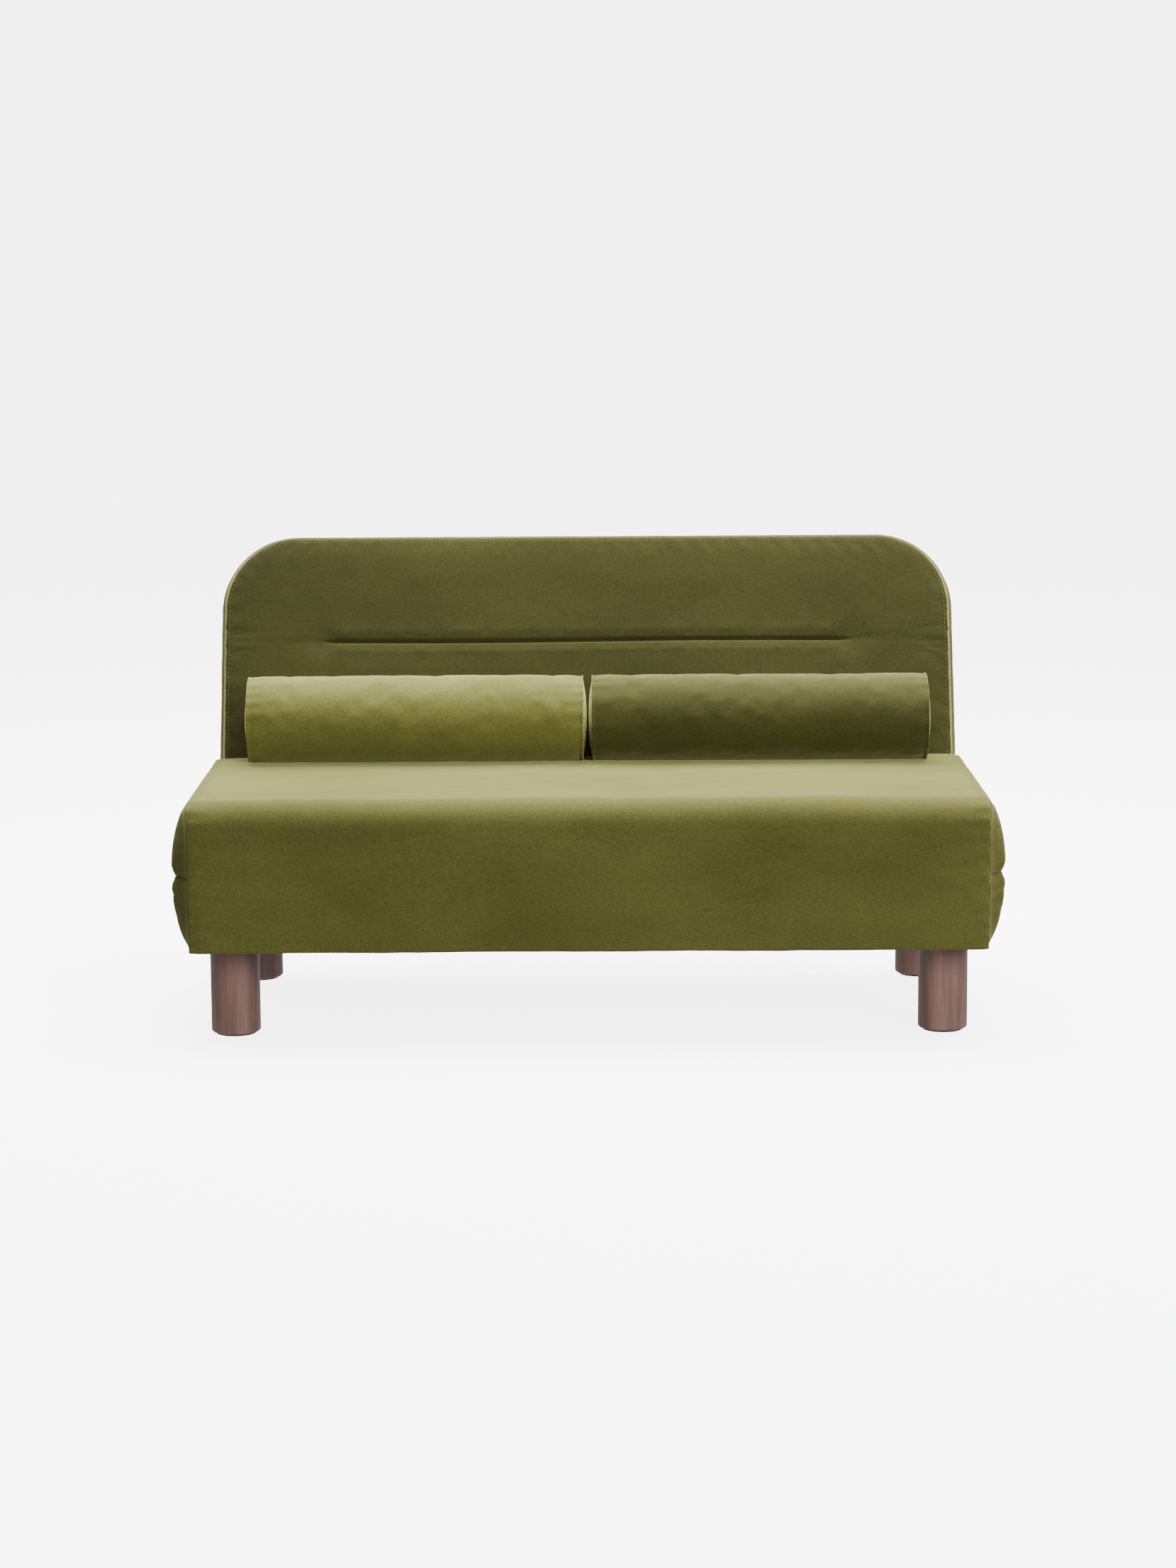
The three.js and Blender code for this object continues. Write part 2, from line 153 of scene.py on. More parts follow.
def fill_cloth(piece, hold, cap, slack):
    """Fills a closed cover by cloth simulation. hold is how firmly each point is sewn or rested, from 0 to 1;
    no point moves further than cap, and slack is how much larger the cloth is cut than the form."""
    before = coordinates(piece)
    group = piece.vertex_groups.new(name="held")
    for index in np.flatnonzero(hold > 0.01):
        group.add([int(index)], float(hold[index]), "REPLACE")
    modifier = piece.modifiers.new("cloth", "CLOTH")
    settings = modifier.settings
    settings.quality, settings.mass, settings.air_damping = 6, 0.2, 2.0
    settings.tension_stiffness = settings.compression_stiffness = 12.0
    settings.shear_stiffness, settings.bending_stiffness = 5.0, 0.4
    settings.use_pressure, settings.uniform_pressure_force = True, CLOTH_PRESSURE
    settings.effector_weights.gravity = 0.0
    settings.vertex_group_mass = "held"
    settings.shrink_min = -slack
    modifier.collision_settings.use_collision = False
    modifier.point_cache.frame_start, modifier.point_cache.frame_end = 1, CLOTH_FRAMES
    for step in range(1, CLOTH_FRAMES + 1):
        bpy.context.scene.frame_set(step)
    apply_modifiers(piece)
    bpy.context.scene.frame_set(1)
    piece.vertex_groups.clear()
    move = (coordinates(piece) - before) * (1 - np.clip(hold, 0, 1))[:, None]
    far = np.linalg.norm(move, axis=1)[:, None]
    move *= np.tanh(far / cap) * cap / np.maximum(far, 1e-9)
    piece.data.vertices.foreach_set("co", (before + move).ravel())
    piece.data.update()


def coordinates(piece):
    points = np.zeros(3 * len(piece.data.vertices))
    piece.data.vertices.foreach_get("co", points)
    return points.reshape(-1, 3)


def apply_modifiers(piece):
    bpy.context.view_layer.update()
    evaluated = piece.evaluated_get(bpy.context.evaluated_depsgraph_get())
    mesh = bpy.data.meshes.new_from_object(evaluated)
    piece.modifiers.clear()
    piece.data = mesh


# ---------------------------------------------------------------- materials
def node_material(name):
    material = bpy.data.materials.new(name)
    material.use_nodes = True
    nodes, links = material.node_tree.nodes, material.node_tree.links
    return material, nodes, links, nodes["Principled BSDF"]


def noise_node(nodes, links, scale, stretch, detail, roughness):
    place = nodes.new("ShaderNodeTexCoord")
    mapping = nodes.new("ShaderNodeMapping")
    mapping.inputs["Scale"].default_value = stretch
    texture = nodes.new("ShaderNodeTexNoise")
    texture.inputs["Scale"].default_value = scale
    texture.inputs["Detail"].default_value = detail
    texture.inputs["Roughness"].default_value = roughness
    links.new(place.outputs["Object"], mapping.inputs["Vector"])
    links.new(mapping.outputs["Vector"], texture.inputs["Vector"])
    return texture


def ramp_node(nodes, links, source, stops):
    ramp = nodes.new("ShaderNodeValToRGB")
    ramp.color_ramp.elements[0].position, ramp.color_ramp.elements[0].color = stops[0][0], (*stops[0][1], 1)
    ramp.color_ramp.elements[1].position, ramp.color_ramp.elements[1].color = stops[-1][0], (*stops[-1][1], 1)
    for position, colour in stops[1:-1]:
        ramp.color_ramp.elements.new(position).color = (*colour, 1)
    links.new(source, ramp.inputs["Fac"])
    return ramp


def multiplied(nodes, links, one, two):
    mix = nodes.new("ShaderNodeMix")
    mix.data_type, mix.blend_type = "RGBA", "MULTIPLY"
    mix.inputs["Factor"].default_value = 1.0
    links.new(one, mix.inputs[6])
    links.new(two, mix.inputs[7])
    return mix.outputs[2]


def bump_chain(nodes, links, shader, layers):
    """Bumps laid on each other: (texture output, strength, depth in metres)."""
    last = None
    for output, strength, depth in layers:
        bump = nodes.new("ShaderNodeBump")
        bump.inputs["Strength"].default_value = strength
        bump.inputs["Distance"].default_value = depth
        links.new(output, bump.inputs["Height"])
        if last:
            links.new(last.outputs["Normal"], bump.inputs["Normal"])
        last = bump
    links.new(last.outputs["Normal"], shader.inputs["Normal"])


def scaled(colour, factor):
    return tuple(c * factor for c in colour)


def velvet(name, base, mottle, sheen, stretch=(0.7, 1.0, 1.5)):
    """Short-pile velvet: brushed patches, grains of pressed pile, fine pile and a soft sheen."""
    material, nodes, links, shader = node_material(name)
    patches = noise_node(nodes, links, 3.2, stretch, 6.0, 0.60)
    grains = noise_node(nodes, links, 240.0, (0.6, 1.0, 1.0), 3.0, 0.7)
    pile = noise_node(nodes, links, 900.0, (1, 1, 1), 2.0, 0.7)
    broad = ramp_node(nodes, links, patches.outputs["Fac"],
                      [(0.30, scaled(base, 1 - mottle)), (0.52, base), (0.74, scaled(base, 1 + mottle))])
    fine = ramp_node(nodes, links, grains.outputs["Fac"],
                     [(0.3, (0.82, 0.82, 0.80)), (0.7, (1.18, 1.18, 1.18))])
    specks = ramp_node(nodes, links, pile.outputs["Fac"],
                       [(0.25, (0.74, 0.74, 0.72)), (0.75, (1.24, 1.24, 1.2))])
    colour = multiplied(nodes, links, broad.outputs["Color"], fine.outputs["Color"])
    colour = multiplied(nodes, links, colour, specks.outputs["Color"])
    links.new(colour, shader.inputs["Base Color"])
    bump_chain(nodes, links, shader,
               [(grains.outputs["Fac"], 0.08, 0.002), (pile.outputs["Fac"], 0.35, 0.0006)])
    shader.inputs["Roughness"].default_value = 0.95
    shader.inputs["Specular IOR Level"].default_value = 0.12
    shader.inputs["Sheen Weight"].default_value = sheen
    shader.inputs["Sheen Roughness"].default_value = 0.42
    shader.inputs["Sheen Tint"].default_value = (0.78, 0.80, 0.30, 1)
    return material


def wood(name, dark, light, roughness, stretch, scale, pores):
    material, nodes, links, shader = node_material(name)
    grain = noise_node(nodes, links, scale, stretch, 8.0, 0.65)
    fibre = noise_node(nodes, links, scale * 6, stretch, 3.0, 0.6)
    cloud = noise_node(nodes, links, 9.0, (1, 1, 0.4), 2.0, 0.5)
    body = ramp_node(nodes, links, grain.outputs["Fac"],
                     [(0.32, dark), (0.55, scaled(light, 0.75)), (0.72, light)])
    lines = ramp_node(nodes, links, fibre.outputs["Fac"], [(0.38, (pores,) * 3), (0.52, (1.0, 1.0, 1.0))])
    tone = ramp_node(nodes, links, cloud.outputs["Fac"],
                     [(0.3, (0.82, 0.82, 0.82)), (0.7, (1.15, 1.13, 1.1))])
    colour = multiplied(nodes, links, body.outputs["Color"], lines.outputs["Color"])
    colour = multiplied(nodes, links, colour, tone.outputs["Color"])
    links.new(colour, shader.inputs["Base Color"])
    gloss = ramp_node(nodes, links, grain.outputs["Fac"],
                      [(0.3, (roughness + 0.12,) * 3), (0.7, (roughness,) * 3)])
    links.new(gloss.outputs["Color"], shader.inputs["Roughness"])
    bump_chain(nodes, links, shader, [(fibre.outputs["Fac"], 0.25, 0.0006)])
    return material


def metal(name, colour, roughness, metallic, speck):
    material, nodes, links, shader = node_material(name)
    grit = noise_node(nodes, links, 1500.0, (1, 1, 1), 2.0, 0.6)
    wear = noise_node(nodes, links, 14.0, (1, 1, 1), 4.0, 0.6)
    body = ramp_node(nodes, links, wear.outputs["Fac"],
                     [(0.35, scaled(colour, 0.8)), (0.7, scaled(colour, 1.25))])
    links.new(body.outputs["Color"], shader.inputs["Base Color"])
    gloss = ramp_node(nodes, links, wear.outputs["Fac"],
                      [(0.3, (roughness - 0.08,) * 3), (0.7, (roughness + 0.1,) * 3)])
    links.new(gloss.outputs["Color"], shader.inputs["Roughness"])
    bump_chain(nodes, links, shader, [(grit.outputs["Fac"], speck, 0.0002)])
    shader.inputs["Metallic"].default_value = metallic
    return material


def plain_rubber(name, colour):
    material, nodes, links, shader = node_material(name)
    dust = noise_node(nodes, links, 300.0, (1, 1, 1), 4.0, 0.7)
    body = ramp_node(nodes, links, dust.outputs["Fac"], [(0.3, colour), (0.7, scaled(colour, 2.2))])
    links.new(body.outputs["Color"], shader.inputs["Base Color"])
    bump_chain(nodes, links, shader, [(dust.outputs["Fac"], 0.3, 0.0004)])
    shader.inputs["Roughness"].default_value = 0.85
    return material


OLIVE = (0.080, 0.080, 0.0200)
SEAT_VELVET = velvet("seat_velvet", scaled(OLIVE, 0.94), 0.22, 0.46)
SIDE_VELVET = velvet("side_velvet", scaled(OLIVE, 0.95), 0.28, 0.30, (1.0, 1.0, 1.5))
# Painted shade: the back is the same velvet, with its base colour darkened to stand for the shade its pile shows
# when seen face-on.
BACK_VELVET_PAINTED_SHADE = velvet("back_velvet", scaled(OLIVE, 0.42), 0.20, 0.33)
# Painted light and painted shade: both bolsters are the same velvet, the left one's base colour lightened and the
# right one's darkened to stand for how the light falls on their pile.
BOLSTER_PAINTED_LIGHT = velvet("bolster_light_velvet", scaled(OLIVE, 1.30), 0.16, 0.8, (1.6, 1.0, 2.0))
BOLSTER_PAINTED_SHADE = velvet("bolster_dark_velvet", scaled(OLIVE, 0.50), 0.18, 0.7, (1.0, 1.0, 2.5))
THREAD = velvet("thread", scaled(OLIVE, 0.85), 0.1, 0.3)
WALNUT = wood("walnut_stain", (0.085, 0.048, 0.039), (0.250, 0.135, 0.108), 0.34, (1, 1, 0.06), 34.0, 0.86)
PLYWOOD = wood("plywood_birch", (0.36, 0.22, 0.11), (0.56, 0.39, 0.22), 0.55, (0.08, 1, 1), 30.0, 0.85)
STEEL = metal("steel_black", (0.022, 0.023, 0.025), 0.45, 0.0, 0.35)
ZINC = metal("zinc_plated", (0.45, 0.46, 0.47), 0.38, 1.0, 0.10)
RUBBER = plain_rubber("rubber_black", (0.010, 0.010, 0.010))

NODE_LOOKS = {"walnut": WALNUT, "plywood": PLYWOOD, "steel": STEEL, "zinc": ZINC, "rubber": RUBBER}


def paint_cad_nodes():
    for entry in frame["record"]["subparts"]:
        look = NODE_LOOKS.get(entry["material_slot"])
        if look:
            for material_slot in frame["nodes"][entry["node"]].material_slots:
                material_slot.material = look


# ---------------------------------------------------------------- camera, light, stage
def make_camera():
    data = bpy.data.cameras.new("camera")
    data.lens, data.sensor_width = 83.0, 36.0
    camera = bpy.data.objects.new("camera", data)
    bpy.context.scene.collection.objects.link(camera)
    pitch, roll = math.radians(8.85), math.radians(0.33)
    in_front, height = 6.646, 1.529
    turn = Matrix.Rotation(math.radians(90) - pitch, 4, "X") @ Matrix.Rotation(-roll, 4, "Z")
    camera.matrix_world = Matrix.Translation((0.0, SEAT_FRONT - in_front, height)) @ turn
    bpy.context.scene.camera = camera


def area_light(name, place, target, size, power):
    data = bpy.data.lights.new(name, "AREA")
    data.shape, data.size, data.size_y, data.energy = "RECTANGLE", size[0], size[1], power
    light = bpy.data.objects.new(name, data)
    bpy.context.scene.collection.objects.link(light)
    light.location = place
    light.rotation_euler = (Vector(target) - Vector(place)).to_track_quat("-Z", "Y").to_euler()


def make_lights():
    world = bpy.data.worlds.new("studio")
    bpy.context.scene.world = world
    world.use_nodes = True
    background = world.node_tree.nodes["Background"]
    background.inputs["Color"].default_value = (1, 1, 1, 1)
    background.inputs["Strength"].default_value = 0.60
    area_light("overhead", (0.2, 0.9, 4.2), (0, 0.3, 0.4), (5.0, 3.0), 1000)
    area_light("front_right", (3.2, -5.0, 2.8), (0, 0, 0.5), (3.0, 3.0), 380)


def make_stage():
    """A pale round floor that runs up into a wall in one curve, evenly bright as in a studio."""
    flat, bend, rise, around = 9.0, 3.0, 12.0, 64
    profile = [(0.0001, 0.0), (flat / 2, 0.0), (flat, 0.0)]
    profile += [(flat + bend * math.sin(a), bend - bend * math.cos(a))
                for a in np.linspace(0, math.pi / 2, 14)[1:]]
    profile.append((flat + bend, rise))
    turns = np.linspace(0, 2 * math.pi, around + 1)
    points = [(r * math.cos(a), r * math.sin(a), z) for r, z in profile for a in turns]
    faces = grid_faces(len(profile), around + 1)
    material, nodes, links, shader = node_material("studio_paper")
    shader.inputs["Base Color"].default_value = (0.85, 0.85, 0.85, 1)
    shader.inputs["Roughness"].default_value = 1.0
    shader.inputs["Specular IOR Level"].default_value = 0.0
    shader.inputs["Emission Color"].default_value = (1, 1, 1, 1)
    shader.inputs["Emission Strength"].default_value = 4.9
    paper = add_mesh("floor", points, faces, material)
    # The paper shows white without lighting the sofa.
    paper.visible_diffuse = paper.visible_glossy = paper.visible_shadow = False


# ---------------------------------------------------------------- seat
def side_bulge(y, z):
    """How far a side panel stands out past its seams: one soft bulge, pinched and gathered along the fold."""
    height = np.clip((z - SEAT_BOTTOM) / (TOP_HIGH[2] - SEAT_BOTTOM), 0, 1)
    along = smooth_step(SEAT_FRONT - 0.002, SEAT_FRONT + 0.05, y)
    along = along * (1 - smooth_step(PUFF_END - 0.12, PUFF_END, y))
    bulge = SIDE_PUFF * np.sin(np.pi * height) ** 0.7
    off = np.abs(z - FOLD_Z)
    pinch = 0.006 * np.exp(-((off / 0.010) ** 2))
    waver = 0.35 * np.sin(41 * y + 1.3) + 0.25 * np.sin(97 * y)
    folds = 0.5 + 0.5 * np.cos(2 * np.pi * y / 0.052 + 3 * waver + 9 * (z - FOLD_Z) * np.sign(np.sin(17 * y)))
    gathers = 0.0060 * folds ** 1.5 * np.exp(-off / 0.034) + 0.0035 * folds * np.exp(-off / 0.09)
    return along * (bulge - pinch - gathers * np.clip(bulge / SIDE_PUFF, 0, 1))


def layer_side(low, high, front, rear, front_round, rows, columns, side):
    """The side panel of a seat layer as a grid: columns run to the rear, rows run up."""
    grid = np.zeros((rows, columns, 3))
    for i in range(rows):
        share = i / (rows - 1)
        z = low + (high - low) * (math.sin(share * math.pi / 2) if front_round else share)
        drop = max(0.0, z - (high - front_round))
        start = front + front_round - math.sqrt(max(front_round ** 2 - drop ** 2, 0))
        grid[i, :, 1] = np.linspace(start, rear(z), columns)
        grid[i, :, 2] = z
    bulge = side_bulge(grid[..., 1], grid[..., 2])
    grid[..., 0] = side * (SEAM_HALF + bulge)
    return grid


def seat_layer(name, sides, undersag, material):
    """A closed seat layer: two side panels joined by a skin across the width."""
    right, left = sides
    rows, columns = right.shape[:2]
    loop = edge_loop(rows, columns)
    near = right.reshape(-1, 3)[loop]
    stations = np.concatenate([[0.996, 0.985], np.linspace(0.96, -0.96, 44), [-0.985, -0.996]])
    rings = []
    for station in stations:
        ring = near.copy()
        edge = SEAM_HALF + (near[:, 0] - SEAM_HALF) * abs(station) ** 60
        ring[:, 0] = edge * station
        rings.append(undersag(ring))
    points, faces = closed_slab(right, left, rings)
    return add_mesh(name, points, faces, material)


def fill_sides(piece):
    """Lets the side panels fill out and fold between their seams."""
    x, _, z = coordinates(piece).T
    out = np.abs(x) - SEAM_HALF
    loose = smooth_step(0.004, 0.012, out) * smooth_step(0.004, 0.018, np.abs(z - FOLD_Z))
    fill_cloth(piece, 1 - loose, 0.004, 0.020)


def make_lower_layer():
    low, high = SEAT_BOTTOM + 0.001, LOWER_HIGH[2]
    pivot_y, pivot_z = JOINTS["back_recline"]["pos_m"][1:]
    round_past = LOWER_HIGH[2] - pivot_z

    def rear(z):
        reach = math.sqrt(max(round_past ** 2 - (z - pivot_z) ** 2, 0)) if z > pivot_z else round_past
        return min(LOWER_HIGH[1], pivot_y + reach)

    def hollow_under(ring):
        inside = smooth_step(0.0, 0.012, 0.744 - np.abs(ring[:, 0]))
        inside = inside * smooth_step(0.0, 0.02, ring[:, 1] - SEAT_FRONT - 0.03)
        inside = inside * smooth_step(0.0, 0.02, LOWER_HIGH[1] - 0.004 - ring[:, 1])
        lift = np.where(ring[:, 2] < low + 0.002, LOWER_LOW[2] + 0.0006 - low, 0.0)
        ring[:, 2] += lift * inside
        return ring

    front = SEAT_FRONT + SKIN_INSET
    sides = [layer_side(low, high, front, rear, 0.0, 22, 110, side) for side in (1, -1)]
    piece = seat_layer("lower_mattress", sides, hollow_under, SIDE_VELVET)
    fill_sides(piece)
    open_corners(piece)
    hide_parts("lower_pad")
    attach(piece, "root")


def open_corners(piece):
    """Clears the lower layer's rear corners, where the recline arms turn."""
    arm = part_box("recline_arm_right")[0]
    bpy.ops.mesh.primitive_cube_add(size=1)
    tool = bpy.context.object
    for side in (1, -1):
        low = Vector((arm[0] - 0.010, FOLD_Y + 0.573, LOWER_LOW[2] - 0.05))
        high = Vector((arm[0] + 0.10, LOWER_HIGH[1] + 0.05, LOWER_HIGH[2] + 0.05))
        middle = (low + high) / 2
        tool.location = (side * middle.x, middle.y, middle.z)
        tool.scale = high - low
        modifier = piece.modifiers.new("corner", "BOOLEAN")
        modifier.object, modifier.operation, modifier.solver = tool, "DIFFERENCE", "EXACT"
        apply_modifiers(piece)
    bpy.data.objects.remove(tool)


def make_upper_layer():
    low, high = UNDER_LOW[2], TOP_HIGH[2] - SKIN_INSET
    slope = math.tan(LEAN)

    def rear(z):
        return UNDER_HIGH[1] - (UNDER_HIGH[2] - z) * slope - 0.001

    front = SEAT_FRONT + SKIN_INSET
    sides = [layer_side(low, high, front, rear, FRONT_ROUND, 24, 96, side) for side in (1, -1)]
    piece = seat_layer("upper_mattress", sides, lambda ring: ring, SIDE_VELVET)
    fill_sides(piece)
    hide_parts("flap_under_pad", "flap_top_pad")
    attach(piece, "flap")


def cover_path():
    """The cover's run in (y, z): from the crease forward, round the front edge, down and under."""
    rear = TOP_HIGH[1] - 0.004
    corner_y, corner_z = SEAT_FRONT + FRONT_ROUND, SEAT_TOP - FRONT_ROUND
    hem = 0.006
    pieces = [np.stack([np.linspace(rear, rear - 0.008, 4), SEAT_TOP - 0.012 * np.linspace(1, 0, 4) ** 2], 1)]
    pieces.append(np.stack([np.linspace(rear - 0.016, corner_y, 60), np.full(60, SEAT_TOP)], 1))
    turn = np.linspace(0, math.pi / 2, 16)[1:]
    pieces.append(np.stack([corner_y - FRONT_ROUND * np.sin(turn), corner_z + FRONT_ROUND * np.cos(turn)], 1))
    falls = np.linspace(corner_z, SEAT_BOTTOM + hem, 40)[1:]
    pieces.append(np.stack([np.full(39, SEAT_FRONT), falls], 1))
    pieces.append(np.stack([SEAT_FRONT + hem - hem * np.cos(turn[::3]),
                            SEAT_BOTTOM + hem - hem * np.sin(turn[::3])], 1))
    path = np.concatenate(pieces)
    run = np.clip((path[:, 0] - SEAT_FRONT) / (rear - SEAT_FRONT), 0, 1)
    path[:, 1] += (SEAT_RISE[0] + (SEAT_RISE[1] - SEAT_RISE[0]) * run) * (path[:, 1] > FOLD_Z)
    along = np.concatenate([[0], np.cumsum(np.linalg.norm(np.diff(path, axis=0), axis=1))])
    return path, along


def cover_shape(x, path, along, normals):
    """Points of the cover at one x: a slight crown, soft unevenness and puckers at the seams."""
    ring = np.zeros((len(path), 3))
    ring[:, 0] = x
    ring[:, 1:] = path
    seam = SEAM_HALF - abs(x)
    crown = 0.0035 * (1 - (x / SEAM_HALF) ** 4) * np.sin(np.pi * along / along[-1]) ** 0.5
    dip = -0.0030 * math.exp(-seam / 0.005)
    pucker = 0.0011 * math.exp(-seam / 0.03) * np.sin(2 * np.pi * along / 0.037 + 2 * np.sin(31 * along))
    uneven = 0.0022 * rough(ring * (0.6, 1, 1), 0.16, 3) + 0.0008 * rough(ring, 0.045, 5)
    out = crown + dip + pucker + uneven * min(1, seam / 0.03)
    ring[:, 1:] += normals * out[:, None]
    return ring


def path_normals(path):
    tangent = np.gradient(path, axis=0)
    normal = np.stack([tangent[:, 1], -tangent[:, 0]], 1)
    return normal / np.linalg.norm(normal, axis=1)[:, None]


def make_seat_cover():
    path, along = cover_path()
    normals = path_normals(path)
    half = np.concatenate([np.linspace(0, 0.70, 60), np.linspace(0.71, 0.742, 8), [0.7455, 0.748, SEAM_HALF]])
    xs = np.concatenate([-half[:0:-1], half])
    grid = np.stack([cover_shape(x, path, along, normals) for x in xs], axis=1)
    points = grid.reshape(-1, 3)
    faces = grid_faces(len(path), len(xs), flip=True)
    cover = add_mesh("seat_cover", points, faces, SEAT_VELVET)
    thick = cover.modifiers.new("cloth", "SOLIDIFY")
    thick.thickness, thick.offset = 0.0016, -1
    apply_modifiers(cover)
    across_fold(cover)
    rows = []
    for side in (-1, 1):
        for inset in (0.0075, 0.0145):
            line = cover_shape(side * (SEAM_HALF - inset), path, along, normals)
            rows.append((line, np.concatenate([np.zeros((len(path), 1)), normals], axis=1)))
    stitches = stitch_mesh("seat_stitching", rows)
    across_fold(stitches)


def across_fold(piece):
    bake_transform(piece)


# ---------------------------------------------------------------- stitching
def stitch_mesh(name, rows):
    """Short thread dashes along each (line, normals) pair."""
    points, faces = [], []
    proud, half_wide, buried, sunk = 0.0009, 0.0006, 0.0005, 0.0002
    for line, normals in rows:
        along = np.concatenate([[0], np.cumsum(np.linalg.norm(np.diff(line, axis=0), axis=1))])
        marks = np.arange(0.01, along[-1] - 0.01, STITCH_PITCH)
        middle = np.stack([np.interp(marks, along, line[:, k]) for k in range(3)], 1)
        ahead = np.stack([np.interp(marks + 0.001, along, line[:, k]) for k in range(3)], 1)
        normal = np.stack([np.interp(marks, along, normals[:, k]) for k in range(3)], 1)
        for m, a, n in zip(middle, ahead, normal):
            t = (a - m) / (np.linalg.norm(a - m) + 1e-12)
            n = n / np.linalg.norm(n)
            b = np.cross(t, n)
            start = len(points)
            points += [m - t * STITCH / 2 - n * sunk, m + t * STITCH / 2 - n * sunk]
            points += [m + n * proud, m + b * half_wide, m - n * buried, m - b * half_wide]
            ring = [start + 2, start + 3, start + 4, start + 5]
            for i in range(4):
                one, two = ring[i], ring[(i + 1) % 4]
                faces += [(start, two, one), (start + 1, one, two)]
    piece = add_mesh(name, points, faces, THREAD)
    return piece


# ---------------------------------------------------------------- back
def back_half_width(v):
    rise = max(0.0, v - (BACK_LENGTH - BACK_CORNER))
    return BACK_HALF - BACK_CORNER + math.sqrt(max(BACK_CORNER ** 2 - rise ** 2, 0))


def back_rows():
    straight = np.concatenate([np.linspace(0, TUCK_UP - 0.030, 40),
                               np.linspace(TUCK_UP - 0.028, TUCK_UP + 0.028, 29),  # close rows at the tuck
                               np.linspace(TUCK_UP + 0.030, BACK_LENGTH - BACK_CORNER, 6)])
    angles = np.linspace(0, math.pi / 2, 34)[1:]
    return np.concatenate([straight, BACK_LENGTH - BACK_CORNER + BACK_CORNER * np.sin(angles)])


def to_world(local):
    """From the back's own frame (x, up the back, depth behind its front face) to the row frame."""
    x, v, w = np.moveaxis(local, -1, 0)
    foot_y, foot_z = BACK_LOW[1:]
    s, c = math.sin(LEAN), math.cos(LEAN)
    level = v + math.tan(LEAN) * w * np.clip(1 - v / 0.15, 0, 1)
    return np.stack([x, foot_y + s * level + c * w, foot_z + c * level - s * w], axis=-1)


def tuck_depth(x, v):
    """The sewn tuck across the back: deep in the middle, faint to the edges, puffed above and below."""
    line = TUCK_UP + 0.0015 * np.sin(6 * x)
    deep = 1 - smooth_step(TUCK_HALF - 0.040, TUCK_HALF + 0.010, np.abs(x))
    off = v - line
    groove = 0.0080 * np.exp(-((off / 0.0030) ** 2)) + 0.0024 * np.exp(-np.abs(off) / 0.012)
    faint = 0.0003 * np.exp(-((off / 0.006) ** 2))
    lip = 0.0016 * np.exp(-(((off - 0.016) / 0.012) ** 2)) + 0.0022 * np.exp(-(((off + 0.014) / 0.010) ** 2))
    return deep * (groove - lip) + (1 - deep) * faint


def back_front_face(columns):
    rows = back_rows()
    grid = np.zeros((len(rows), columns, 3))
    shares = np.sin(np.linspace(-1, 1, columns) * math.pi / 2 * 0.82) / math.sin(math.pi / 2 * 0.82)
    for i, v in enumerate(rows):
        grid[i, :, 0] = shares * back_half_width(v)
        grid[i, :, 1] = v
    x, v = grid[..., 0], grid[..., 1]
    edge = np.minimum(np.array([[back_half_width(b) for b in rows]]).T - np.abs(x), BACK_LENGTH - v)
    crown = 0.006 * (1 - np.exp(-np.clip(edge, 0, 1) / 0.06))
    seam_dip = 0.003 * np.exp(-np.clip(edge, 0, 1) / 0.006)
    uneven = (0.0022 * rough(grid * (0.5, 1, 1), 0.14, 11) + 0.0007 * rough(grid, 0.04, 12)).reshape(x.shape)
    pucker = 0.0005 * np.exp(-np.clip(edge, 0, 1) / 0.025) * np.sin((x + v) * 2 * np.pi / 0.043)
    end = np.exp(-(((np.abs(x) - TUCK_HALF) / 0.03) ** 2)) * np.exp(-(((v - TUCK_UP) / 0.02) ** 2))
    grid[..., 2] = 0.0035 - crown + seam_dip - uneven * np.clip(edge / 0.03, 0, 1) - pucker
    grid[..., 2] += tuck_depth(x, v) + 0.0025 * end
    return grid


def back_ring(outline, outward, share):
    """One ring of the boxing strip between the front and the rear seams."""
    ring = outline.copy()
    puff = 0.0120 * math.sin(math.pi * share) ** 0.5
    ring[:, :2] += outward * (puff - 0.002 * (share in (0.0, 1.0)))
    ring[:, 2] = 0.006 + share * (BACK_THICK - 0.012)
    ripple = 0.0010 * rough(ring, 0.03, 21) * math.sin(math.pi * share)
    ring[:, :2] += outward * ripple[:, None]
    return ring


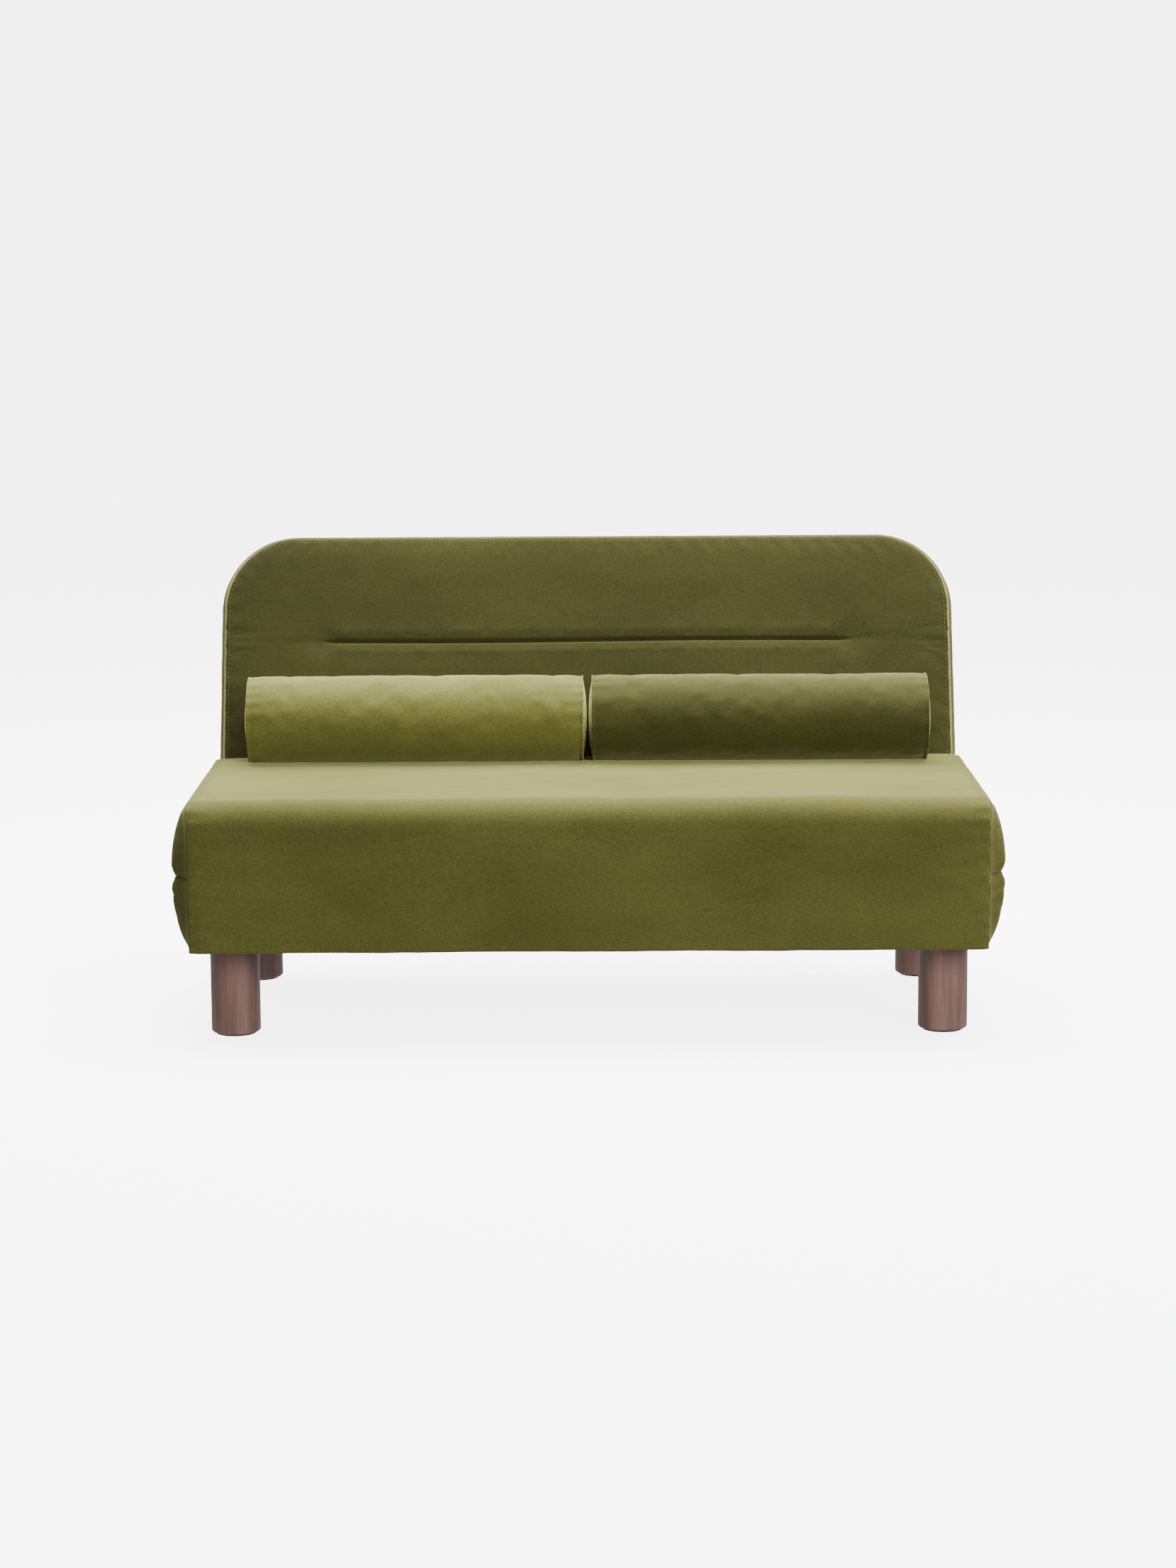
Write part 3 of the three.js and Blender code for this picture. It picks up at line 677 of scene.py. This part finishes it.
def make_back():
    front = back_front_face(150)
    rear = front.copy()
    rows, columns = front.shape[:2]
    sag = 0.0010 * rough(front, 0.12, 31).reshape(rows, columns)
    rear[..., 2] = BACK_THICK - 0.001 + sag
    loop = edge_loop(rows, columns)
    outline = front.reshape(-1, 3)[loop]
    ahead = np.roll(outline, -1, axis=0) - np.roll(outline, 1, axis=0)
    outward = np.stack([ahead[:, 1], -ahead[:, 0]], 1)
    outward /= np.linalg.norm(outward, axis=1)[:, None]
    outward[(outline[:, 1] < 0.001)] *= 0
    shares = [0.0, 0.05, 0.12, 0.25, 0.4, 0.5, 0.6, 0.75, 0.88, 0.95, 1.0]
    rings = [back_ring(outline, outward, share) for share in shares]
    points, faces = closed_slab(front, rear, rings)
    piece = add_mesh("back_cushion", to_world(points), faces, BACK_VELVET_PAINTED_SHADE)
    x, v, w = points.T
    edge = np.minimum(np.array([back_half_width(b) for b in v]) - np.abs(x), BACK_LENGTH - v)
    in_front = w < 0.04  # only the front face is loose, inside its seam
    seam = 1 - smooth_step(0.004, 0.020, edge) * in_front
    tuck = (1 - smooth_step(0.004, 0.014, np.abs(v - TUCK_UP))) * (np.abs(x) < TUCK_HALF + 0.01)
    low = 1 - smooth_step(0.10, 0.24, v)
    fill_cloth(piece, np.maximum(np.maximum(seam, tuck), low), 0.0025, 0.003)
    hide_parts("back_front_pad", "back_board", "back_rear_pad")
    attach(piece, "back")
    lines = []
    above = outline[:, 1] > 0.004
    keep = np.roll(outline, -np.argmax(above), axis=0)[: above.sum()]
    out = np.roll(outward, -np.argmax(above), axis=0)[: above.sum()]
    for inset, depth in ((0.008, -0.0016), (-0.0035, 0.0115), (-0.0035, BACK_THICK - 0.0115)):
        line = keep.copy()
        line[:, :2] -= out * inset
        line[:, 2] = depth
        normal = np.stack([out[:, 0], out[:, 1], np.zeros(len(out))], 1)
        if inset > 0:
            normal = np.tile([0, 0, -1.0], (len(out), 1))
        world = to_world(line)
        lines.append((world, to_world(line + normal * 0.001) - world))
    stitches = stitch_mesh("back_stitching", lines)
    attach(stitches, "back")


# ---------------------------------------------------------------- bolsters
def make_bolster(side, material):
    label = "right" if side > 0 else "left"
    low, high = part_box(f"bolster_{label}")
    centre = (np.array(low) + np.array(high)) / 2
    radius, half = (high[2] - low[2]) / 2 + 0.0005, (high[0] - low[0]) / 2
    around = 96
    cap = radius - 0.005
    profile = [(r, half - 0.004 + 0.006 * (1 - (r / cap) ** 2)) for r in np.linspace(0, radius - 0.009, 16)]
    seam = [(0.0055, 0.0050), (0.0030, 0.0068), (0.0015, 0.0040), (0.0004, 0.0035),
            (0.0, 0.0060), (0.0020, 0.0085), (0.0010, 0.0140)]  # inwards from the radius and from the end
    profile += [(radius - inward, half - back) for inward, back in seam]
    profile += [(radius, x) for x in np.linspace(half - 0.03, 0, 36)]
    profile += [(r, -x) for r, x in profile[-2::-1]]
    points, rings = [], []
    for r, x in profile:
        start = len(points)
        count = 1 if r == 0 else around
        for k in range(count):
            a = 2 * math.pi * k / around
            points.append((x, r * math.cos(a), r * math.sin(a)))
        rings.append(list(range(start, start + count)))
    faces = []
    for one, two in zip(rings, rings[1:]):
        for k in range(around):
            j = (k + 1) % around
            if len(one) == 1:
                faces.append((one[0], two[k], two[j]))
            elif len(two) == 1:
                faces.append((one[k], two[0], one[j]))
            else:
                faces.append((one[k], two[k], two[j], one[j]))
    points = soften_bolster(np.array(points), radius, half, side) + centre
    piece = add_mesh(f"bolster_{label}_cover", points, faces, material)
    if volume(piece) < 0:
        piece.data.flip_normals()
    local = coordinates(piece) - centre
    from_seam = np.hypot(half - np.abs(local[:, 0]), radius - np.hypot(local[:, 1], local[:, 2]))
    sewn = 1 - smooth_step(0.010, 0.025, from_seam)
    rested = 1 - smooth_step(0.006, 0.020, local[:, 2] + radius)
    towards_back = local[:, 1] * math.cos(LEAN) - local[:, 2] * math.sin(LEAN)
    leaned = smooth_step(radius - 0.020, radius - 0.008, towards_back)
    fill_cloth(piece, np.maximum(np.maximum(sewn, rested), leaned), 0.0015, 0.003)
    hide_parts(f"bolster_{label}")
    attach(piece, f"bolster_{label}_body")
    rows = []
    angles = np.linspace(0, 2 * math.pi, 120)
    for end in (-1, 1):
        r, x = radius - 0.016, half - 0.0022
        ring = np.stack([np.full(120, end * x), r * np.cos(angles), r * np.sin(angles)], 1) + centre
        rows.append((ring, np.tile([float(end), 0, 0], (120, 1))))
    stitches = stitch_mesh(f"bolster_{label}_stitching", rows)
    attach(stitches, f"bolster_{label}_body")


def soften_bolster(points, radius, half, side):
    """Settles the roll on the seat and gives it soft unevenness and drawn-in folds by its end seams."""
    r = np.linalg.norm(points[:, 1:], axis=1)
    outward = points[:, 1:] / np.maximum(r, 1e-6)[:, None]
    near_end = np.exp(-(half - np.abs(points[:, 0])) / 0.035)
    angle = np.arctan2(points[:, 2], points[:, 1])
    folds = 0.0012 * near_end * np.sin(17 * angle + 3 * np.sin(3 * angle + side))
    uneven = 0.0016 * rough(points * (0.5, 1, 1), 0.11, 41 + side) + 0.0006 * rough(points, 0.035, 45 + side)
    push = (folds + uneven) * smooth_step(0.04, 0.08, r)
    points[:, 1:] += outward * push[:, None]
    floor = -radius + 0.0022
    low = points[:, 2] < floor
    points[low, 2] = floor + (points[low, 2] - floor) * 0.15
    return points


def volume(piece):
    total = 0.0
    points = [v.co for v in piece.data.vertices]
    for face in piece.data.polygons:
        ids = face.vertices
        for k in range(1, len(ids) - 1):
            total += points[ids[0]].dot(points[ids[k]].cross(points[ids[k + 1]]))
    return total


# ---------------------------------------------------------------- build
paint_cad_nodes()
make_camera()
make_lights()
make_stage()
make_lower_layer()
make_upper_layer()
make_seat_cover()
make_back()
make_bolster(-1, BOLSTER_PAINTED_LIGHT)
make_bolster(1, BOLSTER_PAINTED_SHADE)
